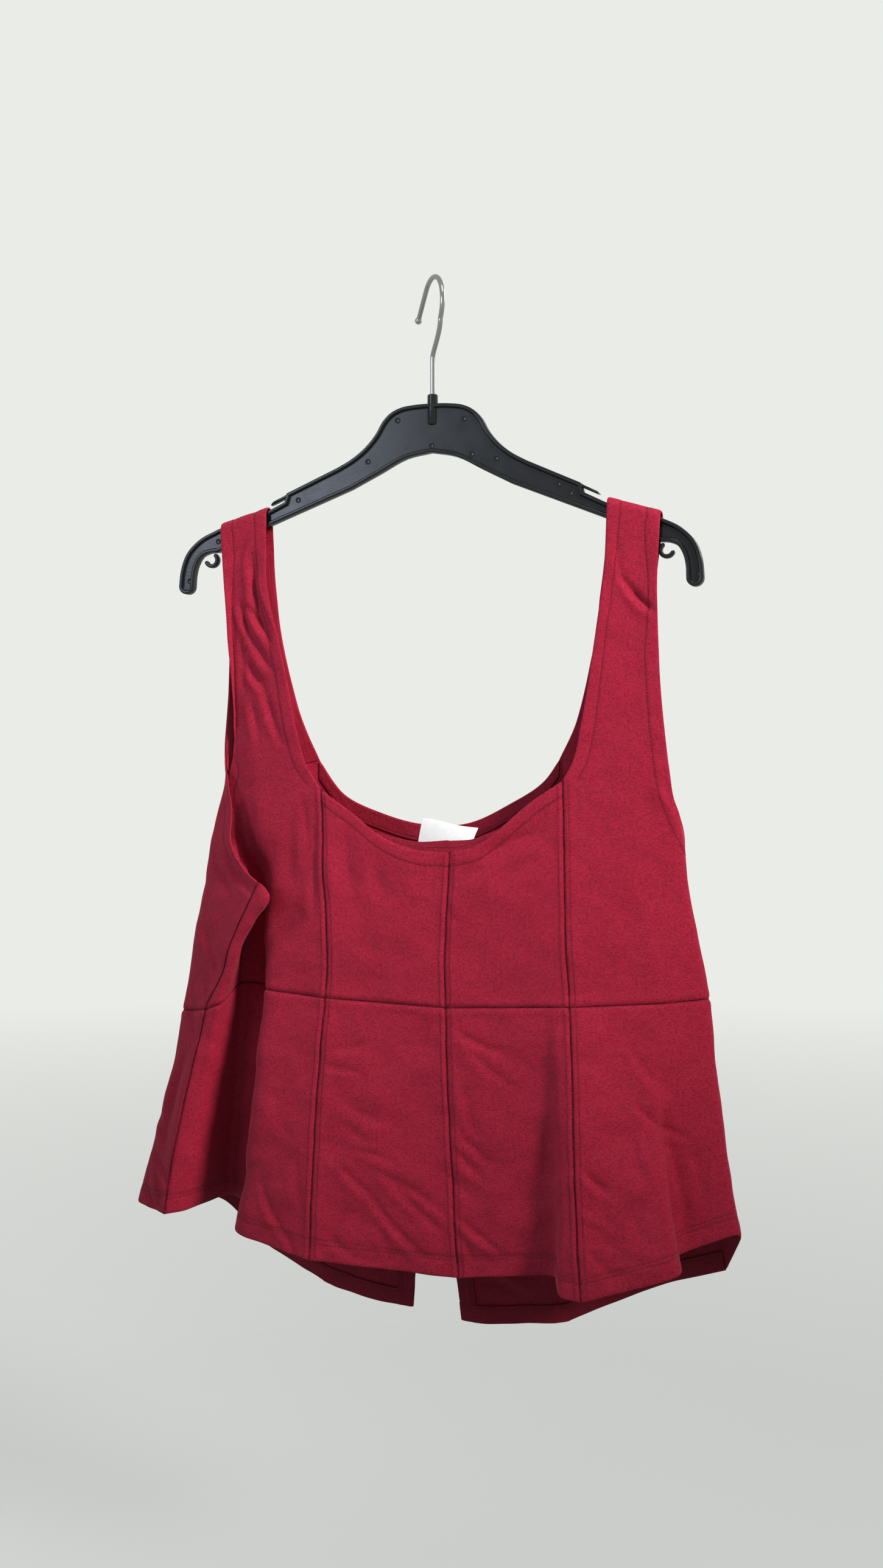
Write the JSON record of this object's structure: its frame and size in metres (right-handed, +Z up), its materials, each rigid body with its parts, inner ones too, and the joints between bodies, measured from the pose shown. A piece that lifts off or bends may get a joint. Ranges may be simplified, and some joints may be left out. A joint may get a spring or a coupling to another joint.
{
  "type": "sleeveless peplum top on a plastic hanger with a wire hook",
  "caption": "Sleeveless peplum top with wide straps, scoop neck, waist seam and split front hem, hung on a slim plastic hanger with a turned wire hook.",
  "frame": {"origin": "underside of the top of the wire hook's bend, where the hook rests on a rail", "axes": "+Z up; X along the hanger, +X to the right as seen from the back of the top; +Y from the back of the top towards its front, so the pictured side, the back, faces -Y"},
  "size_m": [0.4961, 0.1452, 0.8401],
  "materials": {
    "knit": "matt double knit",
    "knit_inside": "matt knit, wrong side",
    "label": "smooth woven tape",
    "hanger_plastic": "gloss",
    "hook_wire": "bright"
  },
  "bodies": {
    "root": {"back_side_left": "knit", "back_side_right": "knit", "front_side_left": "knit", "front_side_right": "knit", "back_centre_left": "knit", "back_centre_right": "knit", "front_centre": "knit", "back_peplum_side_left": "knit", "back_peplum_centre_left": "knit", "back_peplum_centre_right": "knit", "back_peplum_side_right": "knit", "front_peplum_side_left": "knit", "front_peplum_centre_left": "knit", "front_peplum_centre_right": "knit", "front_peplum_side_right": "knit", "back_neck_facing": "knit_inside", "front_neck_facing": "knit_inside", "front_neck_facing_left": "knit_inside", "front_neck_facing_right": "knit_inside", "front_armhole_facing_left": "knit_inside", "front_hem_left": "knit_inside", "front_hem_right": "knit_inside", "front_slit_band_left": "knit_inside", "front_slit_band_right": "knit_inside", "neck_label": "label", "hanger_body": "hanger_plastic", "hanger_loop_left": "hanger_plastic", "hanger_loop_right": "hanger_plastic", "hanger_hook": "hook_wire"}
  },
  "joints": []
}
